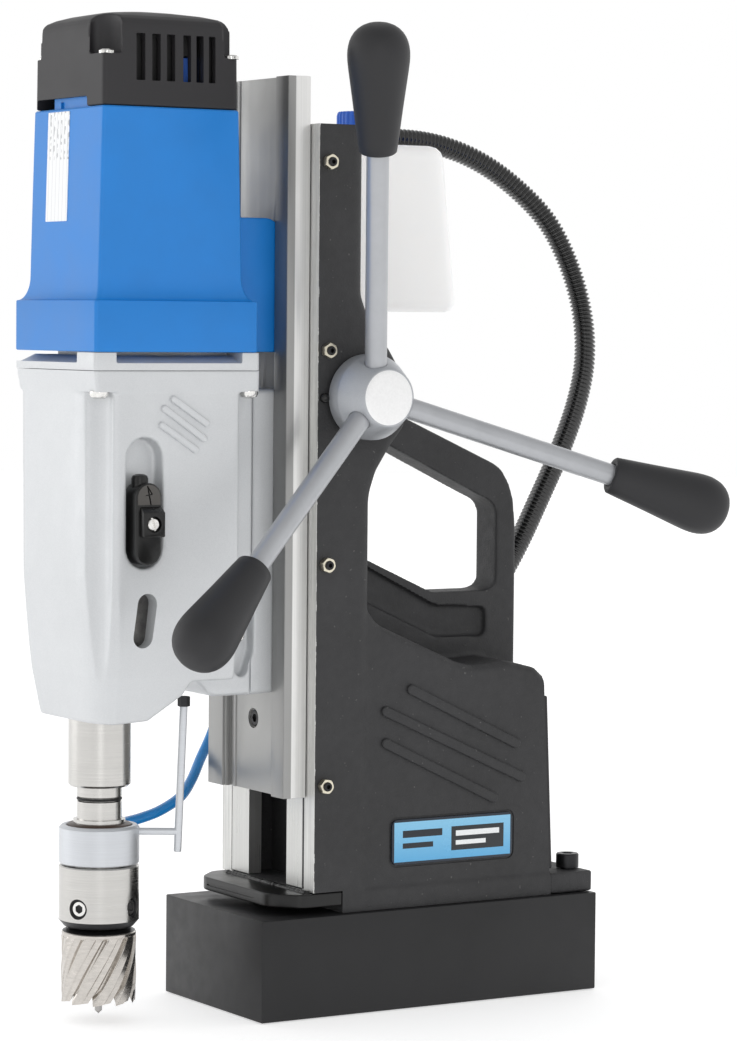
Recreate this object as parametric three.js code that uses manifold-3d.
// Magnetic core drilling machine, in millimetres, +Z up.
// The origin is the centre of the magnet's pole face, which stands on the work. The spindle is at
// the front, towards -Y, and the capstan is on the right side, towards +X.
import * as THREE from 'three';
import { mergeVertices } from 'three/addons/utils/BufferGeometryUtils.js';
import Module from 'manifold-3d';

const wasm = await Module();
wasm.setup();

// ---------------------------------------------------------------- driving dimensions
const GAP = 0.3;                       // play between touching pieces
const THROUGH = 2;                     // how far a cutter passes a face

const MAGNET = { halfX: 55, halfY: 110, height: 55.5 };
const POCKET = { halfX: 44, halfY: 98, depth: 44, coreX: 24, coreY: 78 };
const FOOT = { halfX: 51, front: -57, rear: 110, bottom: MAGNET.height + GAP, top: 68 };
const FOOT_SCREW_X = [-37, 37];
const FOOT_SCREW_Y = 102;
const LIP = { front: -97, bottom: 60, top: 67.5 };

const COLUMN = { halfX: 51, front: -75.7, rear: -46, top: 487 };
const CHANNEL = { halfX: 40.5, ledgeX: 31.8, ledgeY: -67.4, back: -54.5, bottom: 69 };
const HUB = { y: -46.4, z: 339.2 };    // capstan axis, along X
const HANDLE = { halfX: 11, pocketDepth: 4 };
const CHAMBER = { halfX: 44, front: -34, bottom: 74, top: 166 };

const RAIL = { inner: 21, front: -75.5, rear: -67.5 };
const GIB_SCREW_Z = [126.7, 247.7, 364.4, 466.4];
const GIB_SCREW_Y = -69.6;

const SLIDE = { halfX: 42.3, front: -90.3, plateRear: -76.1, bottom: 119.7, top: 512.7 };
const SLIDE_RECESS = { left: -26, right: 28.7, y: -85.8 };
const SLIDE_FOOT = { neckX: 20.5, halfX: 31, front: -67.2, rear: -57 };

const FEED_MODULE = 1.5;               // rack and capstan pinion
const FEED_TEETH = 16;
const FEED_RADIUS = (FEED_MODULE * FEED_TEETH) / 2;

const SPINDLE_Y = -180.9;
const MOTOR_Y = -160;
const LAYSHAFT = { x: -21.75, y: -163.3 };
const STAGE_1 = { module: 1, pinion: 10, wheel: 34, bottom: 326, top: 337 };
const STAGE_2 = { module: 1.5, pinion: 12, wheel: 25, bottom: 297, top: 311 };

const BRACKET_X = 28;                  // bracket and motor block, which sit in the slide's recess
const GEARBOX = { halfX: 46.5, front: -207, rear: -121, bottom: 164.7, top: 353.1 };
const PLATE = { halfX: 47.6, front: -209.4, rear: -110.5, bottom: 353.4, top: 362.9 };
const FLANGE = { halfX: 47.9, front: -209.3, rear: -111, bottom: 363.2, top: 390 };
const MOTOR_BODY = { halfX: 41.4, front: -202.5, rear: -118.6, top: 492.6 };
const CAP = { halfX: 40.2, front: -201, rear: -119.5, bottom: 492.9, step: 520, top: 545 };

const ARBOR = { radius: 21.8, bottom: 52.1, top: 84.4 };
const RING = { radius: 21.8, bottom: 86, top: 106.8 };
const CUTTER = { radius: 20.4, bore: 16.2, bottom: 10.4, top: 50.6, flutes: 10 };
const PILOT = { radius: 2, tip: 3.2 };
const SPINDLE_BOTTOM = 128;
const QUILL_RADIUS = 17;

const ARM = { radius: 6, tilt: THREE.MathUtils.degToRad(18), inner: 12, knobStart: 140, tip: 210 };
const ARM_ORIGIN = 63.5;               // where the arms' lines meet the capstan axis, along X
const FIRST_ARM_ANGLE = THREE.MathUtils.degToRad(101.5);

const TANK = { inner: -51.6, outer: -92, front: -62, bottom: 386, top: 483 };
const TAP = { x: -71, y: -46 };
const PANEL = { front: -20, rear: 62, bottom: 88, top: 162 };
const SWITCHES = [[-8, 14, 112, 142], [25, 41, 132, 148], [25, 41, 106, 122]];   // Y and Z limits

const CONDUIT_DIAMETER = 13;
const HOSE_DIAMETER = 6;

// ---------------------------------------------------------------- materials
const material = (color, roughness, metalness) =>
  new THREE.MeshStandardMaterial({ color, roughness, metalness });
const BLACK_CAST = material(0x2b2b2c, 0.7, 0.1);
const BLACK_PLASTIC = material(0x262627, 0.55, 0);
const GREY_CAST = material(0xbfc2c5, 0.45, 0.5);
const ALUMINIUM = material(0xc9c9c7, 0.4, 0.8);
const STEEL = material(0x9a9a9a, 0.3, 1);
const BLUE = material(0x2a72c0, 0.45, 0);
const LIGHT_BLUE = material(0x3f9ad8, 0.4, 0);
const COPPER = material(0xb06a3c, 0.4, 0.9);
const RESIN = material(0x20201e, 0.5, 0);
const BRONZE = material(0xa98242, 0.4, 0.9);
const WHITE = material(0xe9e9e7, 0.4, 0);
const GREEN = material(0x2f8f46, 0.4, 0);
const RED = material(0xb5211e, 0.4, 0);

// ---------------------------------------------------------------- shape helpers
function toManifold(geometry) {
  const bare = geometry.clone();
  bare.deleteAttribute('normal');
  bare.deleteAttribute('uv');
  const merged = mergeVertices(bare, 1e-4);
  const vertProperties = new Float32Array(merged.attributes.position.array);
  const triVerts = new Uint32Array(merged.index.array);
  return new wasm.Manifold(new wasm.Mesh({ numProp: 3, vertProperties, triVerts }));
}

function toGeometry(solid) {
  const mesh = solid.getMesh();
  const geometry = new THREE.BufferGeometry();
  geometry.setAttribute('position', new THREE.BufferAttribute(mesh.vertProperties, 3));
  geometry.setIndex(new THREE.BufferAttribute(mesh.triVerts, 1));
  geometry.computeVertexNormals();
  return geometry;
}

// Joins every geometry in `pieces`, then takes every geometry in `holes` away.
function combine(pieces, holes = []) {
  const joined = pieces.map(toManifold).reduce((a, b) => a.add(b));
  return toGeometry(holes.map(toManifold).reduce((a, b) => a.subtract(b), joined));
}

function box(x0, x1, y0, y1, z0, z1) {
  const geometry = new THREE.BoxGeometry(x1 - x0, y1 - y0, z1 - z0);
  return geometry.translate((x0 + x1) / 2, (y0 + y1) / 2, (z0 + z1) / 2);
}

function outline(points) {
  return new THREE.Shape(points.map(([a, b]) => new THREE.Vector2(a, b)));
}

function extrude(shape, depth) {
  return new THREE.ExtrudeGeometry(shape, { depth, bevelEnabled: false, curveSegments: 6 });
}

// Prisms of an outline in X-Y, in Y-Z or in X-Z.
function prismZ(points, z0, z1) {
  return extrude(outline(points), z1 - z0).translate(0, 0, z0);
}

function prismX(points, x0, x1) {
  const axes = new THREE.Matrix4().makeBasis(
    new THREE.Vector3(0, 1, 0), new THREE.Vector3(0, 0, 1), new THREE.Vector3(1, 0, 0));
  return extrude(outline(points), x1 - x0).applyMatrix4(axes).translate(x0, 0, 0);
}

// Cylinders along one axis, each between two positions on it.
function cylinderZ(radius, z0, z1, x = 0, y = 0, sides = 24) {
  const geometry = new THREE.CylinderGeometry(radius, radius, z1 - z0, sides);
  return geometry.rotateX(Math.PI / 2).translate(x, y, (z0 + z1) / 2);
}

function cylinderX(radius, x0, x1, y, z, sides = 24) {
  const geometry = new THREE.CylinderGeometry(radius, radius, x1 - x0, sides);
  return geometry.rotateZ(Math.PI / 2).translate((x0 + x1) / 2, y, z);
}

// A turned piece about Z from [radius, z] pairs, closed on the axis or on itself.
function turned(profile, sides = 24) {
  const points = profile.map(([radius, z]) => new THREE.Vector2(radius, z));
  const bored = profile[0][0] > 0;
  const closed = bored ? [...points, points[0].clone()] : points;
  const lathe = new THREE.LatheGeometry(closed, sides).rotateX(Math.PI / 2);
  const solid = toManifold(lathe);
  return solid.volume() > 0 ? toGeometry(solid) : toGeometry(toManifold(flip(lathe)));
}

function flip(geometry) {
  const index = geometry.index.array;
  for (let i = 0; i < index.length; i += 3) {
    const first = index[i];
    index[i] = index[i + 1];
    index[i + 1] = first;
  }
  return geometry;
}

function ring(outer, inner, z0, z1, sides = 24) {
  return turned([[inner, z0], [outer, z0], [outer, z1], [inner, z1]], sides);
}

// A solid through a stack of sections, { z, points }, which all have as many points.
function loft(sections) {
  const count = sections[0].points.length;
  const positions = sections.flatMap(({ z, points }) => points.flatMap(([x, y]) => [x, y, z]));
  const index = [];
  for (let level = 0; level < sections.length - 1; level += 1) {
    for (let i = 0; i < count; i += 1) {
      const a = level * count + i;
      const b = level * count + ((i + 1) % count);
      index.push(a, b, b + count, a, b + count, a + count);
    }
  }
  const caps = THREE.ShapeUtils.triangulateShape(
    sections[0].points.map(([x, y]) => new THREE.Vector2(x, y)), []);
  const last = (sections.length - 1) * count;
  caps.forEach(([a, b, c]) => index.push(c, b, a, last + a, last + b, last + c));
  const geometry = new THREE.BufferGeometry();
  geometry.setAttribute('position', new THREE.Float32BufferAttribute(positions, 3));
  geometry.setIndex(index);
  return geometry;
}

// A rectangle with cut corners, anticlockwise.
function cutRectangle(halfX, front, rear, corner) {
  return [
    [halfX - corner, front], [halfX, front + corner], [halfX, rear - corner],
    [halfX - corner, rear], [-halfX + corner, rear], [-halfX, rear - corner],
    [-halfX, front + corner], [-halfX + corner, front],
  ];
}

// A rectangle whose ends are half circles, long along the second axis.
function longHole(a, b, halfWidth, halfLength, steps = 6) {
  const points = [];
  for (const [sign, start] of [[1, 0], [-1, Math.PI]]) {
    for (let i = 0; i <= steps; i += 1) {
      const angle = start + (Math.PI * i) / steps;
      const along = sign * (halfLength - halfWidth) + halfWidth * Math.sin(angle);
      points.push([a + halfWidth * Math.cos(angle), b + along]);
    }
  }
  return points;
}

function tube(points, diameter, sides, steps) {
  const path = new THREE.CatmullRomCurve3(points.map((p) => new THREE.Vector3(...p)));
  const section = new THREE.Shape();
  for (let i = 0; i < sides; i += 1) {
    const angle = (2 * Math.PI * i) / sides;
    const corner = [(diameter / 2) * Math.cos(angle), (diameter / 2) * Math.sin(angle)];
    if (i === 0) section.moveTo(...corner);
    else section.lineTo(...corner);
  }
  return new THREE.ExtrudeGeometry(section, { steps, extrudePath: path, bevelEnabled: false });
}

// The outline of a spur gear whose first tooth points along +X turned by `phase` of a tooth.
// The flanks are straight, and the teeth are a little thin, which is the backlash.
function gearOutline(module, teeth, phase) {
  const pitch = (module * teeth) / 2;
  const step = (2 * Math.PI) / teeth;
  const root = pitch - 1.2 * module;
  const crest = pitch + 0.9 * module;
  const points = [];
  for (let tooth = 0; tooth < teeth; tooth += 1) {
    const middle = (tooth + phase) * step;
    points.push([root, middle - 0.34 * step], [crest, middle - 0.1 * step]);
    points.push([crest, middle + 0.1 * step], [root, middle + 0.34 * step]);
  }
  return points.map(([radius, angle]) => [radius * Math.cos(angle), radius * Math.sin(angle)]);
}

function gear(module, teeth, z0, z1, phase = 0) {
  return prismZ(gearOutline(module, teeth, phase), z0, z1);
}

const assembly = new THREE.Group();

function group(x = 0, y = 0, z = 0) {
  const part = new THREE.Group();
  part.position.set(x, y, z);
  assembly.add(part);
  return part;
}

function place(parent, name, geometry, surface) {
  const mesh = new THREE.Mesh(geometry, surface);
  mesh.name = name;
  parent.add(mesh);
  return mesh;
}

// ---------------------------------------------------------------- foot
function addMagnet(parent) {
  const { halfX, halfY, height } = MAGNET;
  const { halfX: px, halfY: py, depth, coreX, coreY } = POCKET;
  const pocket = combine([box(-px, px, -py, py, -THROUGH, depth)],
    [box(-coreX, coreX, -coreY, coreY, -2 * THROUGH, depth + THROUGH)]);
  const screwHoles = FOOT_SCREW_X.map((x) => cylinderZ(4.3, 39, 60, x, FOOT_SCREW_Y, 16));
  const block = combine([box(-halfX, halfX, -halfY, halfY, 0, height)], [pocket, ...screwHoles]);
  place(parent, 'magnet_core', block, BLACK_CAST);

  const coil = combine([box(-px + GAP, px - GAP, -py + GAP, py - GAP, 0.5, depth - 2)],
    [box(-coreX - GAP, coreX + GAP, -coreY - GAP, coreY + GAP, -THROUGH, depth)]);
  place(parent, 'magnet_coil', coil, RESIN);
}

function addFoot(parent) {
  const { halfX } = FOOT;
  const corner = 14;
  const lip = [
    [-halfX + corner, LIP.front], [halfX - corner, LIP.front], [halfX, LIP.front + corner],
    [halfX, FOOT.front - GAP], [-halfX, FOOT.front - GAP], [-halfX, LIP.front + corner],
  ];
  place(parent, 'front_lip', prismZ(lip, LIP.bottom, LIP.top), BLACK_PLASTIC);
  for (const [i, side] of ['left', 'right'].entries()) {
    const screw = turned([[0, 40], [4, 40], [4, 68.4], [6.5, 68.4], [6.5, 76.4], [0, 76.4]], 16);
    const mesh = place(parent, `foot_screw_${side}`, screw, BLACK_CAST);
    mesh.position.set(FOOT_SCREW_X[i], FOOT_SCREW_Y, 0);
  }
}

// ---------------------------------------------------------------- column
// Side outline of the column behind its guide, with the swelling round the capstan shaft.
const COLUMN_SIDE = [
  [COLUMN.front, 56], [-40, 56], [-40, 285], [-35.5, 298], [-27, 311], [-18, 322], [-14, 338],
  [-21, 355], [-28, 366], [-40, 379], [COLUMN.rear, 395], [COLUMN.rear, COLUMN.top],
  [COLUMN.front, COLUMN.top],
];

// Lower body, which holds the electronics, and the web and grip of the handle.
const BODY_SIDE = [
  [-60, 60], [81.5, 60], [76.3, 172.7], [71, 178.5], [53, 185], [28.2, 185], [18, 187.7],
  [-34.5, 211], [-44, 225], [-60, 225],
];
const HANDLE_SIDE = [
  [-60, 172], [82, 172], [82, 262], [80.5, 278.6], [77.5, 288], [72, 296.5], [66.5, 300],
  [-20, 338], [-60, 338],
];
const HANDLE_OPENING = [
  [-70, 342], [55, 282.5], [64, 278.5], [68, 272], [68, 238.6], [65.5, 230.5], [58, 227.3],
  [24.6, 227.3], [-70, 270],
];
const HANDLE_POCKET = [
  [-70, 269], [26.7, 219.8], [61, 218], [61, 201], [27.6, 201.5], [-70, 246],
];

function castingShell() {
  const { halfX } = COLUMN;
  const corner = 6;
  const footPlan = [
    [-halfX, FOOT.front], [halfX, FOOT.front], [halfX, FOOT.rear - corner],
    [halfX - corner, FOOT.rear], [-halfX + corner, FOOT.rear], [-halfX, FOOT.rear - corner],
  ];
  const { halfX: grip, pocketDepth } = HANDLE;
  const handle = combine([prismX(HANDLE_SIDE, -grip, grip)], [
    prismX(HANDLE_OPENING, -grip - THROUGH, grip + THROUGH),
    prismX(HANDLE_POCKET, grip - pocketDepth, grip + THROUGH),
    prismX(HANDLE_POCKET, -grip - THROUGH, -grip + pocketDepth),
  ]);
  return [
    prismX(COLUMN_SIDE, -halfX, halfX), prismX(BODY_SIDE, -halfX, halfX), handle,
    prismZ(footPlan, FOOT.bottom, FOOT.top),
  ];
}

function castingHoles() {
  const { halfX, ledgeX, ledgeY, back, bottom } = CHANNEL;
  const top = COLUMN.top + THROUGH;
  const guide = [
    [-halfX, COLUMN.front - THROUGH], [halfX, COLUMN.front - THROUGH], [halfX, ledgeY],
    [ledgeX, ledgeY], [ledgeX, back], [-ledgeX, back], [-ledgeX, ledgeY], [-halfX, ledgeY],
  ];
  const chamber = box(-CHAMBER.halfX, CHAMBER.halfX, CHAMBER.front, 82 + THROUGH,
    CHAMBER.bottom, CHAMBER.top);
  const switches = SWITCHES.map(([y0, y1, z0, z1]) => box(-60, -40, y0, y1, z0, z1));
  const belowLip = box(-60, 60, COLUMN.front - THROUGH, FOOT.front, 50, CHANNEL.bottom - 1);
  const gibHoles = GIB_SCREW_Z.map((z) => cylinderX(2.6, 38, 60, GIB_SCREW_Y, z, 12));
  const footHoles = FOOT_SCREW_X.map((x) => cylinderZ(4.3, 50, 80, x, FOOT_SCREW_Y, 16));
  return [
    prismZ(guide, bottom, top), chamber, belowLip, ...switches, ...gibHoles, ...footHoles,
    cylinderX(9.3, -60, 60, HUB.y, HUB.z, 32),
    cylinderX(14.5, -10.5, 10.5, HUB.y, HUB.z, 32),
  ];
}

function addColumn(parent) {
  place(parent, 'column_casting', combine(castingShell(), castingHoles()), BLACK_CAST);

  const { inner, front, rear } = RAIL;
  const railTop = COLUMN.top - 1;
  const leftRail = box(-CHANNEL.halfX + GAP, -inner, front, rear, 69.3, railTop);
  const rightRail = box(inner, 38.2, front, rear, 69.3, railTop);
  place(parent, 'guide_rail_left', leftRail, ALUMINIUM);
  place(parent, 'guide_rail_right', rightRail, ALUMINIUM);
  place(parent, 'gib_strip', box(38.5, 40.2, front, rear, 69.3, railTop), STEEL);

  GIB_SCREW_Z.forEach((z, i) => {
    const shaft = cylinderX(2.3, 40.5, 56.5, GIB_SCREW_Y, z, 12);
    const nut = cylinderX(4.3, 51.3, 55, GIB_SCREW_Y, z, 6);
    place(parent, `gib_screw_${i + 1}`, combine([shaft, nut]), STEEL);
  });

  const bush = () => ring(9, 7.3, 38, 51).rotateY(Math.PI / 2).translate(0, HUB.y, HUB.z);
  place(parent, 'capstan_bush_right', bush(), BRONZE);
  place(parent, 'capstan_bush_left', bush().translate(-89, 0, 0), BRONZE);

  const plate = prismX([[-25, 79.6], [55, 79.6], [55, 104.8], [-25, 104.8]], 51.3, 52.2);
  place(parent, 'name_plate', plate, LIGHT_BLUE);
}

function addElectrics(parent) {
  const cover = prismX([[81.4, 70], [84.4, 70], [79.9, 169], [76.9, 169]], -47.5, 47.5);
  place(parent, 'rear_cover', cover, BLACK_PLASTIC);

  const parts = [
    box(-36, 36, -20, -18.4, 82, 150), box(-30, -8, -18.6, 6, 90, 112),
    box(2, 28, -18.6, -2, 86, 120), box(-24, 20, -18.6, -8, 126, 142),
  ];
  place(parent, 'control_board', combine(parts), GREEN);

  const face = -COLUMN.halfX - GAP;
  const plate = box(face - 2.5, face, PANEL.front, PANEL.rear, PANEL.bottom, PANEL.top);
  const holes = SWITCHES.map(([y0, y1, z0, z1]) => box(face - 9, face + 9, y0, y1, z0, z1));
  place(parent, 'control_panel', combine([plate], holes), BLACK_PLASTIC);

  const [rocker, start, stop] = SWITCHES.map(
    ([y0, y1, z0, z1]) => box(face - 4.7, face, y0 + GAP, y1 - GAP, z0 + GAP, z1 - GAP));
  place(parent, 'magnet_switch', rocker, RED);
  place(parent, 'start_button', start, GREEN);
  place(parent, 'stop_button', stop, RED);
}

// ---------------------------------------------------------------- coolant and wiring
function addCoolant(parent) {
  const { inner, outer, front, bottom, top } = TANK;
  const middle = (inner + outer) / 2;
  const half = (inner - outer) / 2;
  const slab = (z, inset, rear) => ({
    z, points: cutRectangle(half - inset, front + inset, rear - inset, 6),
  });
  const shell = loft([slab(bottom, 3, 82), slab(bottom + 4, 0, 82), slab(top - 6, 0, 72.5),
    slab(top, 4, 72)]);
  const inside = loft([slab(bottom + 3, 3, 80), slab(top - 3, 3, 71)]);
  const neck = cylinderZ(11, top - 2, top + 6, 0, 26, 24);
  const holes = [inside, cylinderZ(8, top - 6, top + 9, 0, 26, 24),
    cylinderZ(3.2, bottom - 3, bottom + 6, TAP.x - middle, TAP.y, 12)];
  place(parent, 'coolant_tank', combine([shell, neck], holes), WHITE).position.x = middle;

  const cap = turned([[0, 502], [14, 502], [15, 500.5], [15, 484], [11.5, 484], [11.5, 490],
    [0, 490]], 24);
  place(parent, 'tank_cap', cap, BLUE).position.set(middle, 26, 0);

  const body = combine([cylinderZ(6.5, bottom - 26, bottom - GAP, 0, 0, 16)],
    [cylinderX(3.6, -12, 12, 0, bottom - 13, 16)]);
  place(parent, 'coolant_tap', body, BLACK_PLASTIC).position.set(TAP.x, TAP.y, 0);
  const lever = combine([
    cylinderX(3.2, -15, 9, 0, bottom - 13, 16),
    box(-18, -15, -4, 4, bottom - 36, bottom - 8),
  ]);
  place(parent, 'tap_lever', lever, BLUE).position.set(TAP.x, TAP.y, 0);
}

// The hose leaves the coolant ring level, passes under the gearbox and climbs beside the column.
const HOSE_ROUTE = [
  [-12.9, -162.8, 104], [-17.4, -156.6, 104], [-21, -145, 105], [-25, -130, 108], [-31, -114, 114],
  [-40, -102, 122], [-50, -91, 132], [-57, -80, 145], [-61, -70, 165], [-62, -62, 195],
  [-61, -56, 230], [-60, -52, 265], [-61, -49, 300], [-66, -47, 330], [-70.5, -46, 348],
  [-71, -46, 359.7],
];

// The motor cable leaves the motor level, passes outside the tank and loops down behind the handle.
const CONDUIT_ROUTE = [
  [-62.8, -150, 430], [-71, -150, 430.1], [-82.5, -147.2, 432.3], [-93, -139, 437.5],
  [-100.5, -125, 445.2], [-104, -103, 455], [-105, -60, 469], [-105, -10, 479.6],
  [-104, 35, 486.6], [-100, 68, 488.6], [-98, 97, 485.7], [-93, 121.3, 476.8],
  [-88, 144.1, 461.9], [-83, 164.8, 441.2], [-79, 178.6, 414.6], [-75, 185.6, 385.9],
  [-69, 183.6, 358.3], [-63, 173.7, 331.5], [-56, 156.8, 302.6], [-49, 137.8, 275.6],
  [-42, 118, 248.6], [-37, 97.2, 222.4], [-35, 81, 203.5], [-34.5, 73.5, 196.5],
];

function addCords(parent) {
  place(parent, 'coolant_hose', tube(HOSE_ROUTE, HOSE_DIAMETER, 8, 30), LIGHT_BLUE);
  place(parent, 'motor_conduit', tube(CONDUIT_ROUTE, CONDUIT_DIAMETER, 8, 34), BLACK_PLASTIC);

  const gland = turned([[3, 0], [9, 0], [9, 7], [7.5, 8], [7.5, 15], [3, 15]], 16);
  const lower = place(parent, 'conduit_gland_lower', gland, BLACK_PLASTIC);
  lower.rotation.x = -THREE.MathUtils.degToRad(47);
  lower.position.set(-34.5, 61.8, 186.2);
}

function addUpperGland(parent) {
  const gland = turned([[3, 0], [10, 0], [10, 9], [8, 10], [8, 20], [3, 20]], 16);
  const upper = place(parent, 'conduit_gland_upper', gland, BLACK_PLASTIC);
  upper.rotation.y = -Math.PI / 2;
  upper.position.set(-42.3, -150, 430);
}

// ---------------------------------------------------------------- carriage
function addSlide(parent) {
  const { halfX, front, plateRear, bottom, top } = SLIDE;
  const { left, right, y } = SLIDE_RECESS;
  const { neckX, halfX: footX, front: footFront, rear } = SLIDE_FOOT;
  const rackX = 12.5;
  const rackY = -66.5;
  const section = [
    [-halfX, front], [left, front], [left, y], [right, y], [right, front], [halfX, front],
    [halfX, plateRear], [neckX, plateRear], [neckX, footFront], [footX, footFront], [footX, rear],
    [rackX, rear], [rackX, rackY], [-rackX, rackY], [-rackX, rear], [-footX, rear],
    [-footX, footFront], [-neckX, footFront], [-neckX, plateRear], [-halfX, plateRear],
  ];
  place(parent, 'slide_profile', prismZ(section, bottom, top), ALUMINIUM);

  // A tooth space of the rack faces a tooth of the pinion at the capstan's height.
  const pitch = Math.PI * FEED_MODULE;
  const pitchLine = HUB.y - FEED_RADIUS;
  const root = pitchLine - 1.25 * FEED_MODULE;
  const crest = pitchLine + 0.9 * FEED_MODULE;
  const points = [[-66.2, 122], [root, 122]];
  for (let tooth = -46; tooth <= 13; tooth += 1) {
    const middle = HUB.z + (tooth + 0.5) * pitch;
    points.push([root, middle - 0.34 * pitch], [crest, middle - 0.1 * pitch]);
    points.push([crest, middle + 0.1 * pitch], [root, middle + 0.34 * pitch]);
  }
  points.push([root, 407], [-66.2, 407]);
  place(parent, 'rack', prismX(points, -12, 12), STEEL);
}

function gearboxSections() {
  const { halfX, front, rear, bottom } = GEARBOX;
  const at = (z, shrink, lift) => ({
    z, points: cutRectangle(halfX - shrink, front + lift, rear, 8),
  });
  return [at(bottom, 9, 7), at(190, 3.5, 4), at(225, 1, 1.5), at(243, 0, 0), at(341, 0, 0)];
}

function addGearbox(parent) {
  const { halfX, front, rear, top, bottom } = GEARBOX;
  const shell = [
    loft([...gearboxSections(), { z: 345, points: cutRectangle(halfX, front, rear, 8) }]),
    prismZ(cutRectangle(PLATE.halfX, PLATE.front, PLATE.rear, 9), 342, top),
    prismX([[-140, 176], [-95, 176], [SLIDE_RECESS.y - GAP, 179], [SLIDE_RECESS.y - GAP, 343],
      [-140, 343]], -25.5, BRACKET_X),
  ];
  const slope = [[-166, 150], [-110, 150], [-110, 176], [-126, 176], [-147, 186.5]];
  const cavity = loft([
    { z: 192, points: cutRectangle(36, -199, -129, 8) },
    { z: 243, points: cutRectangle(40, -201.5, -127, 8) },
    { z: 360, points: cutRectangle(40, -201.5, -127, 8) },
  ]);
  const drift = prismX(longHole(-177.8, 220.5, 4.5, 14.5), -60, 60);
  const recess = prismX(longHole(-177.8, 283.2, 10.4, 34.7), 41.8, 60);
  const rodHole = cylinderZ(2.6, 150, 200, 26.6, -144, 12);
  const holes = [
    prismX(slope, -60, 60), cavity, drift, recess, rodHole,
    cylinderZ(QUILL_RADIUS + 0.6, bottom - THROUGH, 190, 0, SPINDLE_Y, 32),
    cylinderZ(18, 176, 200, 0, SPINDLE_Y, 32),
  ];
  place(parent, 'gearbox_housing', combine(shell, holes), GREY_CAST);

  const knob = combine(
    [prismX(longHole(-177.8, 272, 9.8, 22.6), 42.3, 51), box(50, 56, -187, -168.5, 264.5, 281)]);
  place(parent, 'gear_selector', knob, BLACK_PLASTIC);
}

function addBearingPlate(parent) {
  const { halfX, front, rear, bottom, top } = PLATE;
  const shell = [
    prismZ(cutRectangle(halfX, front, rear, 9), bottom, top),
    cylinderZ(15.2, 341, bottom + 1, 0, SPINDLE_Y, 32),
  ];
  const vent = 10;
  const holes = [
    box(halfX - vent, halfX + THROUGH, -196.5, -120.5, 357.4, top + THROUGH),
    box(-halfX - THROUGH, -halfX + vent, -196.5, -120.5, 357.4, top + THROUGH),
    box(-halfX - THROUGH, 27, front - THROUGH, front + vent, 357.4, top + THROUGH),
    cylinderZ(13.8, 330, 350, 0, SPINDLE_Y, 32),
    cylinderZ(5.6, 330, 380, 0, MOTOR_Y, 16),
  ];
  place(parent, 'bearing_plate', combine(shell, holes), GREY_CAST);
  const upper = place(parent, 'spindle_bearing_upper', ring(13.5, 8, 341.3, 349.7), STEEL);
  upper.position.y = SPINDLE_Y;
  const lower = place(parent, 'spindle_bearing_lower', ring(17.7, 12.3, 176.5, 189), STEEL);
  lower.position.y = SPINDLE_Y;
}

function addMotor(parent) {
  const { halfX, front, rear, bottom, top } = FLANGE;
  const { halfX: bodyX, front: bodyFront, rear: bodyRear, top: bodyTop } = MOTOR_BODY;
  const tower = loft([
    { z: top - 2, points: cutRectangle(bodyX + 3.5, bodyFront - 4, bodyRear + 4.5, 9) },
    { z: top + 5, points: cutRectangle(bodyX + 0.8, bodyFront - 1.4, bodyRear + 1.4, 9) },
    { z: bodyTop, points: cutRectangle(bodyX, bodyFront, bodyRear, 9) },
  ]);
  const shell = [
    prismZ(cutRectangle(halfX, front, rear, 9), bottom, top), tower,
    box(-25.5, BRACKET_X, bodyRear - 4, SLIDE_RECESS.y - GAP, bottom, 436),
  ];
  const bore = cylinderZ(37.4, bottom - THROUGH, bodyTop + THROUGH, 0, MOTOR_Y, 40);
  place(parent, 'motor_housing', combine(shell, [bore]), BLUE);

  const { halfX: capX, front: capFront, rear: capRear } = CAP;
  const level = (z, inset, corner) => ({
    z, points: cutRectangle(capX - inset, capFront + inset, capRear - inset, corner),
  });
  const lid = loft([level(CAP.bottom, 0, 9), level(CAP.step, 0, 9), level(CAP.step + 0.5, 2, 9),
    level(532, 2.6, 10), level(540, 8, 14), level(CAP.top, 19, 14)]);
  const inside = loft([level(CAP.bottom - THROUGH, 4, 9), level(528, 5, 9), level(538, 11, 12)]);
  const slots = [-178.4, -169.5, -161, -151.2, -143.5, -135.9].flatMap((y) => [
    box(30, 50, y - 3.9, y + 3.9, 506.6, 531), box(-50, -30, y - 3.9, y + 3.9, 506.6, 531)]);
  const notch = box(-36, 20, -210, -195, 490, 498.5);
  place(parent, 'motor_cap', combine([lid], [inside, notch, ...slots]), BLACK_PLASTIC);

  const stator = place(parent, 'motor_stator', ring(37, 27.5, 396, 454, 28), COPPER);
  stator.position.y = MOTOR_Y;
  for (const [side, sign] of [['left', -1], ['right', 1]]) {
    const brush = box(14.6, 34, MOTOR_Y - 4, MOTOR_Y + 4, 481, 493);
    if (sign < 0) brush.translate(-48.6, 0, 0);
    place(parent, `brush_holder_${side}`, brush, BRONZE);
  }
}

function addCoolantRing(parent) {
  const collar = ring(RING.radius, 14.6, RING.bottom, RING.top).translate(0, SPINDLE_Y, 0);
  const reach = new THREE.Vector3(21.9, -144, 103).sub(new THREE.Vector3(0, SPINDLE_Y, 103));
  const angle = Math.atan2(reach.y, reach.x);
  const arm = cylinderX(2, 16.5, reach.length(), 0, 0, 10).rotateZ(angle);
  arm.translate(0, SPINDLE_Y, 103);
  const rod = tube([[21, -144, 92], [23, -144, 118], [25, -144, 144], [27.4, -144, 175.5]], 4.2,
    10, 3);
  place(parent, 'coolant_ring', combine([collar, arm], [rod, tube([[20.8, -144, 90],
    [23, -144, 118], [24.2, -144, 134]], 4.9, 10, 2)]), STEEL);
  place(parent, 'stay_rod', rod, STEEL);
}

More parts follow.
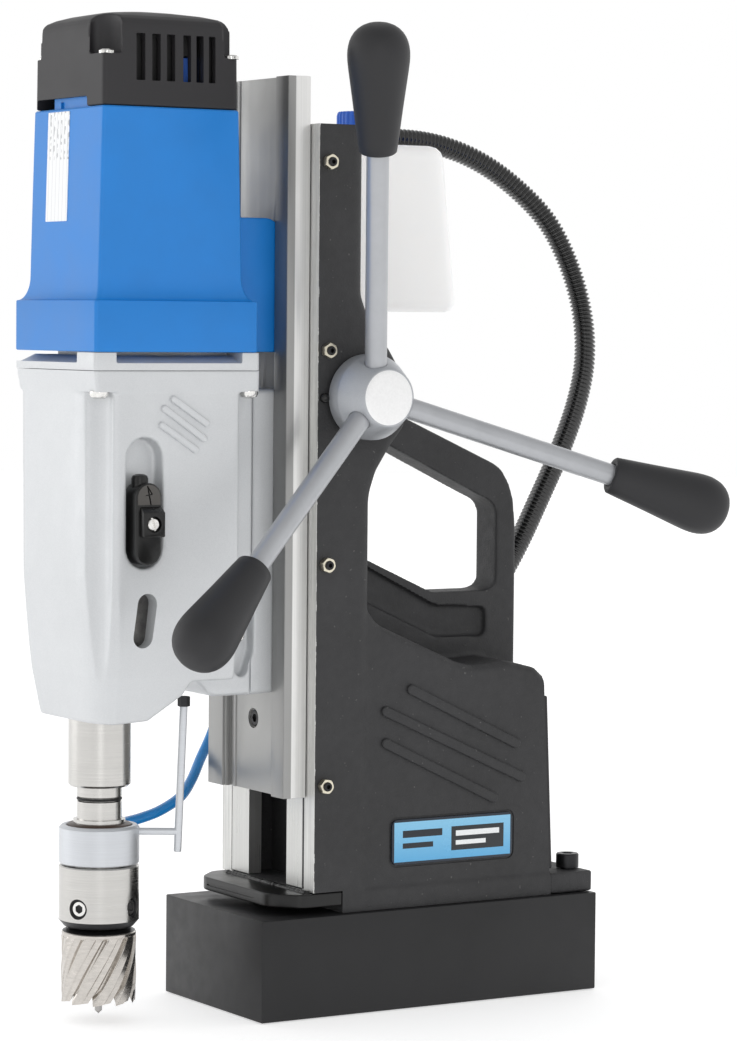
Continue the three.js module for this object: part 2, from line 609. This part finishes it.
// ---------------------------------------------------------------- turning parts
function addSpindle() {
  const parent = group(0, SPINDLE_Y, 0);
  const spindle = turned([
    [0, 350], [7.7, 350], [7.7, 312], [12, 312], [12, 174.3], [QUILL_RADIUS, 174.3],
    [QUILL_RADIUS, SPINDLE_BOTTOM], [12.2, SPINDLE_BOTTOM], [9.4, 192], [0, 192],
  ]);
  place(parent, 'spindle', spindle, STEEL);
  const wheel = combine([gear(STAGE_2.module, STAGE_2.wheel, STAGE_2.bottom, STAGE_2.top)],
    [cylinderZ(12.3, 290, 320, 0, 0, 32)]);
  place(parent, 'spindle_gear', wheel, STEEL);

  const { radius, bottom, top } = ARBOR;
  const holder = turned([
    [2.3, 188], [8.9, 188], [11.2, SPINDLE_BOTTOM], [12.2, SPINDLE_BOTTOM - 0.4], [12.2, 110],
    [14.2, 110], [14.2, top + 0.6],
    [radius, top], [radius, 55.4], [18.8, bottom], [9.8, bottom], [9.8, 80], [2.3, 80],
  ]);
  place(parent, 'tool_holder', holder, STEEL);

  const fluted = [];
  for (let i = 0; i < CUTTER.flutes; i += 1) {
    const start = (2 * Math.PI * i) / CUTTER.flutes;
    [[18.4, 0], [CUTTER.radius, 0.14], [CUTTER.radius, 0.36], [18.6, 0.46]].forEach(
      ([r, turn]) => fluted.push([r, start + turn]));
  }
  const level = (z, twist) => ({
    z, points: fluted.map(([r, a]) => [r * Math.cos(a + twist), r * Math.sin(a + twist)]),
  });
  const body = loft([0, 0.25, 0.5, 0.75, 1].map((part) => level(
    CUTTER.bottom + part * (CUTTER.top - 5 - CUTTER.bottom), part)));
  const shank = turned([[0, 43], [CUTTER.radius, 43], [CUTTER.radius, 46.5], [16.2, CUTTER.top],
    [9.5, CUTTER.top], [9.5, 78], [0, 78]]);
  const bores = [cylinderZ(CUTTER.bore, 0, 41, 0, 0, 24), cylinderZ(2.3, 0, 90, 0, 0, 12)];
  place(parent, 'core_drill', combine([body, shank], bores), STEEL);

  const pin = turned([[0, PILOT.tip], [PILOT.radius, 5], [PILOT.radius, 120], [0, 120]], 12);
  place(parent, 'pilot_pin', pin, STEEL);
}

function addGearTrain() {
  const motor = group(0, MOTOR_Y, 0);
  const toLayshaft = Math.atan2(LAYSHAFT.y - MOTOR_Y, LAYSHAFT.x);
  const turnTo = (teeth, angle, halfTooth) => (angle * teeth) / (2 * Math.PI) + halfTooth;
  const shaft = turned([
    [0, 322], [3.6, 322], [3.6, 345], [4.9, 345], [4.9, 397], [26.5, 397], [26.5, 453],
    [9, 453], [9, 478], [14, 478], [14, 498], [4.9, 498], [4.9, 522], [0, 522],
  ], 24);
  const { module: m1, pinion, wheel, bottom, top } = STAGE_1;
  const teeth = gear(m1, pinion, bottom, top, turnTo(pinion, toLayshaft, 0));
  place(motor, 'armature', combine([shaft, teeth]), STEEL);
  const blades = [];
  for (let i = 0; i < 6; i += 1) {
    blades.push(box(10, 33, -1, 1, 368, 380).rotateZ((Math.PI * i) / 3));
  }
  const fan = combine([ring(12, 5.2, 366, 382, 16), ring(33, 11, 366, 368.5, 24), ...blades]);
  place(motor, 'cooling_fan', fan, BLACK_PLASTIC);

  const layshaft = group(LAYSHAFT.x, LAYSHAFT.y, 0);
  const toSpindle = Math.atan2(SPINDLE_Y - LAYSHAFT.y, -LAYSHAFT.x);
  const { module: m2, pinion: p2, bottom: b2, top: t2 } = STAGE_2;
  const spindlePhase = turnTo(STAGE_2.wheel, toSpindle + Math.PI, 0);
  const meshing = 0.5 - (spindlePhase - Math.floor(spindlePhase));
  const large = gear(m1, wheel, bottom + 1, top - 1, turnTo(wheel, toLayshaft + Math.PI, 0.5));
  const small = gear(m2, p2, b2 + 1, t2 - 1, turnTo(p2, toSpindle, -meshing));
  const axle = turned([[0, 286], [5, 286], [5, 348], [0, 348]], 20);
  place(layshaft, 'layshaft', combine([axle, large, small]), STEEL);
}

function addCapstan() {
  const parent = group(0, HUB.y, HUB.z);
  parent.rotation.y = Math.PI / 2;     // the group's own Z is the machine's X
  const shaft = turned([[0, -52], [7, -52], [7, -9], [9, -9], [9, 9], [7, 9], [7, 71.5], [0, 71.5]],
    24);
  const toothToRack = FEED_TEETH / 4;
  const pinion = gear(FEED_MODULE, FEED_TEETH, -9, 9, -toothToRack);
  place(parent, 'pinion_shaft', combine([shaft, pinion]), STEEL);

  const blank = turned([[0, 52.6], [23.4, 52.6], [23.4, 62], [16.4, 77], [15.5, 78], [0, 78]], 32);
  const holes = [cylinderZ(7.3, 50, 72, 0, 0, 24)];
  const lean = Math.PI / 2 - ARM.tilt;
  const turnOf = (i) => FIRST_ARM_ANGLE + Math.PI / 2 - (2 * Math.PI * i) / 3;
  for (let i = 0; i < 3; i += 1) {
    const hole = cylinderZ(ARM.radius + GAP, ARM.inner - 0.5, 60, 0, 0, 16);
    holes.push(hole.rotateY(lean).rotateZ(turnOf(i)).translate(0, 0, ARM_ORIGIN));
  }
  place(parent, 'capstan_hub', combine([blank], holes), GREY_CAST);

  for (let i = 0; i < 3; i += 1) {
    const spoke = new THREE.Group();
    spoke.position.z = ARM_ORIGIN;
    spoke.rotation.set(0, lean, turnOf(i), 'ZYX');
    parent.add(spoke);
    const rod = cylinderZ(ARM.radius, ARM.inner, ARM.knobStart + 24, 0, 0, 16);
    place(spoke, `capstan_arm_${i + 1}`, rod, GREY_CAST);
    const { knobStart: k, tip } = ARM;
    const grip = turned([
      [6.3, k], [10, k], [11.3, k + 12], [15.6, k + 40], [16.5, k + 52], [15, k + 61],
      [10.5, k + 67.5], [0, tip], [0, k + 25], [6.3, k + 25],
    ], 20);
    place(spoke, `capstan_knob_${i + 1}`, grip, BLACK_PLASTIC);
  }
}

// ---------------------------------------------------------------- the whole machine
const column = group();
addMagnet(column);
addFoot(column);
addColumn(column);
addElectrics(column);
addCoolant(column);
addCords(column);

const carriage = group();
addSlide(carriage);
addGearbox(carriage);
addBearingPlate(carriage);
addMotor(carriage);
addUpperGland(carriage);
addCoolantRing(carriage);

addSpindle();
addGearTrain();
addCapstan();

export default assembly;
